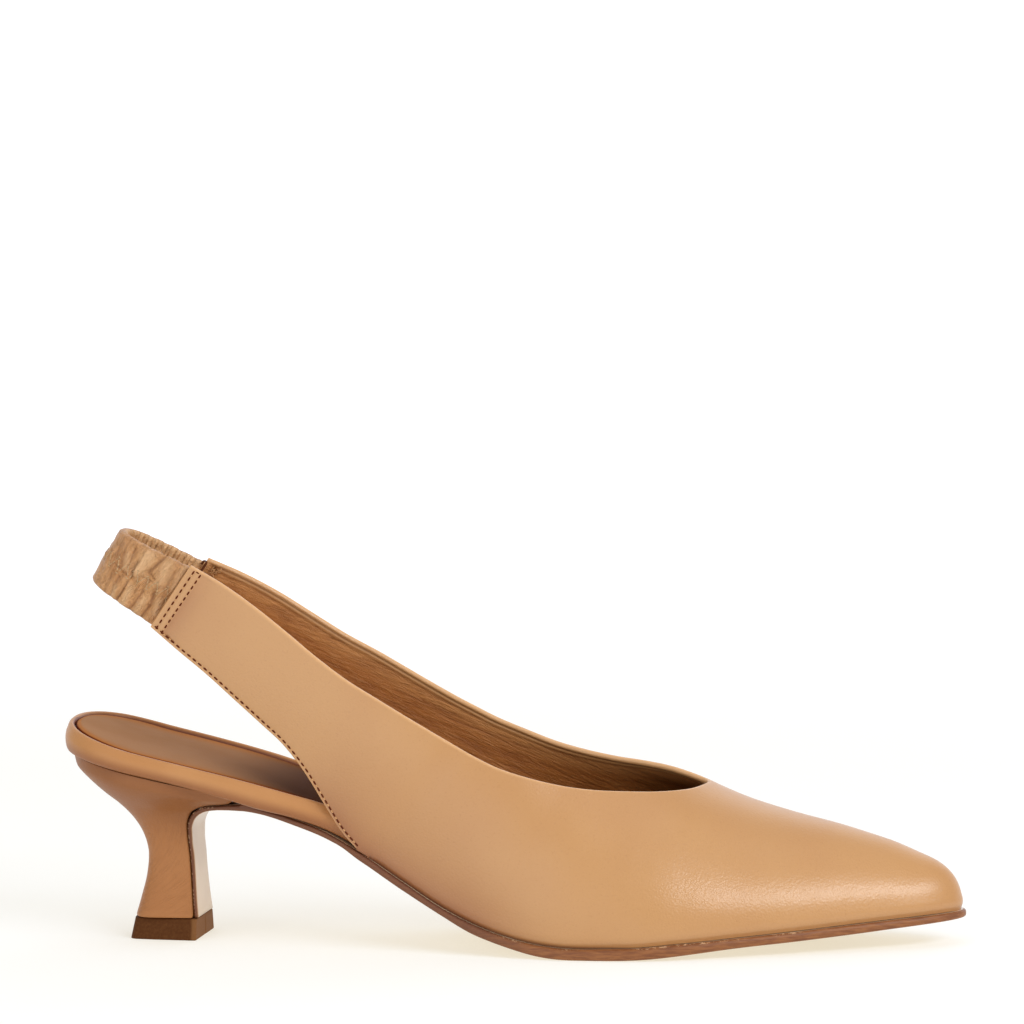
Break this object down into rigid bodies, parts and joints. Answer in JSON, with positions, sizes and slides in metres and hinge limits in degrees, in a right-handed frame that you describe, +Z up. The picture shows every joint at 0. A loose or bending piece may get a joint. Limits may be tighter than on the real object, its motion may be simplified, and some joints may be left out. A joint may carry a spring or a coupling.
{
  "type": "slingback pump",
  "caption": "Pointed slingback pump for the right foot, with a waisted heel of middle height and a gathered elastic heel strap.",
  "frame": {"origin": "floor level under the middle of the bounding box", "axes": "+X towards the toe, +Y towards the inner side of the foot, +Z up"},
  "size_m": [0.26, 0.074, 0.1189],
  "materials": {
    "outsole": "brown painted edge, pale polished underside",
    "heel_cover": "thin smooth leather over the heel block",
    "top_piece": "dark brown moulded rubber",
    "footbed_cover": "smooth leather rolled round the padded footbed",
    "sock_lining": "matt brown lining leather, no lettering",
    "upper_leather": "smooth tan calf leather with a soft shine",
    "strap_leather": "thin leather gathered over elastic"
  },
  "bodies": {
    "root": {"outsole": "outsole", "heel": "heel_cover", "top_piece": "top_piece", "footbed": "footbed_cover", "sock": "sock_lining", "upper": "upper_leather", "strap": "strap_leather"}
  },
  "joints": []
}
